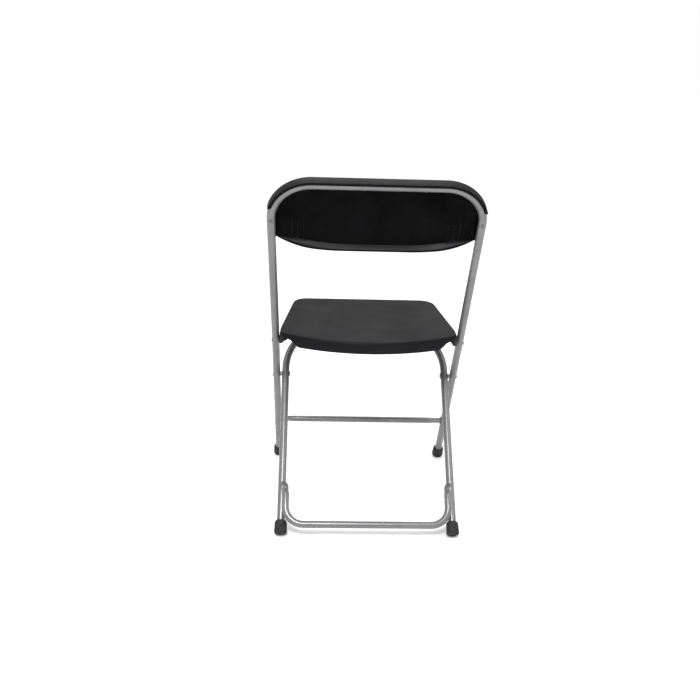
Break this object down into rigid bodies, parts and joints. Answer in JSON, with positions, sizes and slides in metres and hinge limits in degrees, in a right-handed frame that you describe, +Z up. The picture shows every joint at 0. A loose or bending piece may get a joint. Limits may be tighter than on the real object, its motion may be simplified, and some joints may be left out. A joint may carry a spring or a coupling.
{
  "type": "folding chair",
  "caption": "Folding chair with a crossed bent-tube frame that folds flat, a moulded plastic seat and a moulded plastic backrest.",
  "frame": {"origin": "on the floor, under the middle of the open chair's overall length and width", "axes": "+Z up, +X to the sitter's left across the chair (the chair is symmetric about X=0), the sitter faces -Y"},
  "size_m": [0.4648, 0.4735, 0.8025],
  "materials": {
    "frame_paint": "silver-grey powder paint, semi-gloss",
    "seat_plastic": "fine moulded grain, charcoal black",
    "back_plastic": "fine moulded grain, black",
    "foot_rubber": "ribbed black rubber",
    "rivet_steel": "painted over with the frame",
    "screw_steel": "zinc plated",
    "bush_nylon": "black nylon"
  },
  "bodies": {
    "back_frame": {"back_frame_tube": "frame_paint", "front_stretcher": "frame_paint", "front_weld_beads": "frame_paint", "backrest_shell": "back_plastic", "backrest_screws": "screw_steel", "front_foot_left": "foot_rubber", "front_foot_right": "foot_rubber", "pivot_rivet_left": "rivet_steel", "pivot_rivet_right": "rivet_steel", "pivot_spacer_left": "bush_nylon", "pivot_spacer_right": "bush_nylon", "seat_rivet_left": "rivet_steel", "seat_rivet_right": "rivet_steel"},
    "rear_legs": {"rear_leg_tube": "frame_paint", "rear_stretcher": "frame_paint", "rear_weld_beads": "frame_paint", "rear_foot_left": "foot_rubber", "rear_foot_right": "foot_rubber", "pivot_bush_left": "bush_nylon", "pivot_bush_right": "bush_nylon", "bar_sleeve_left": "bush_nylon", "bar_sleeve_right": "bush_nylon"},
    "seat": {"seat_shell": "seat_plastic", "seat_bush_left": "bush_nylon", "seat_bush_right": "bush_nylon"}
  },
  "joints": [
    {"name": "rear_leg_fold", "type": "hinge", "parent": "back_frame", "child": "rear_legs", "pos_m": [0, -0.049, 0.2921], "axis": [-1, 0, 0], "range_deg": [0, 67.8]},
    {"name": "seat_fold", "type": "hinge", "parent": "back_frame", "child": "seat", "pos_m": [0, 0.01195, 0.3994], "axis": [-1, 0, 0], "range_deg": [0, 115.4]}
  ],
  "couplings": [
    {"joint": "seat_fold", "follows": "rear_leg_fold", "ratio": 1.702}
  ]
}
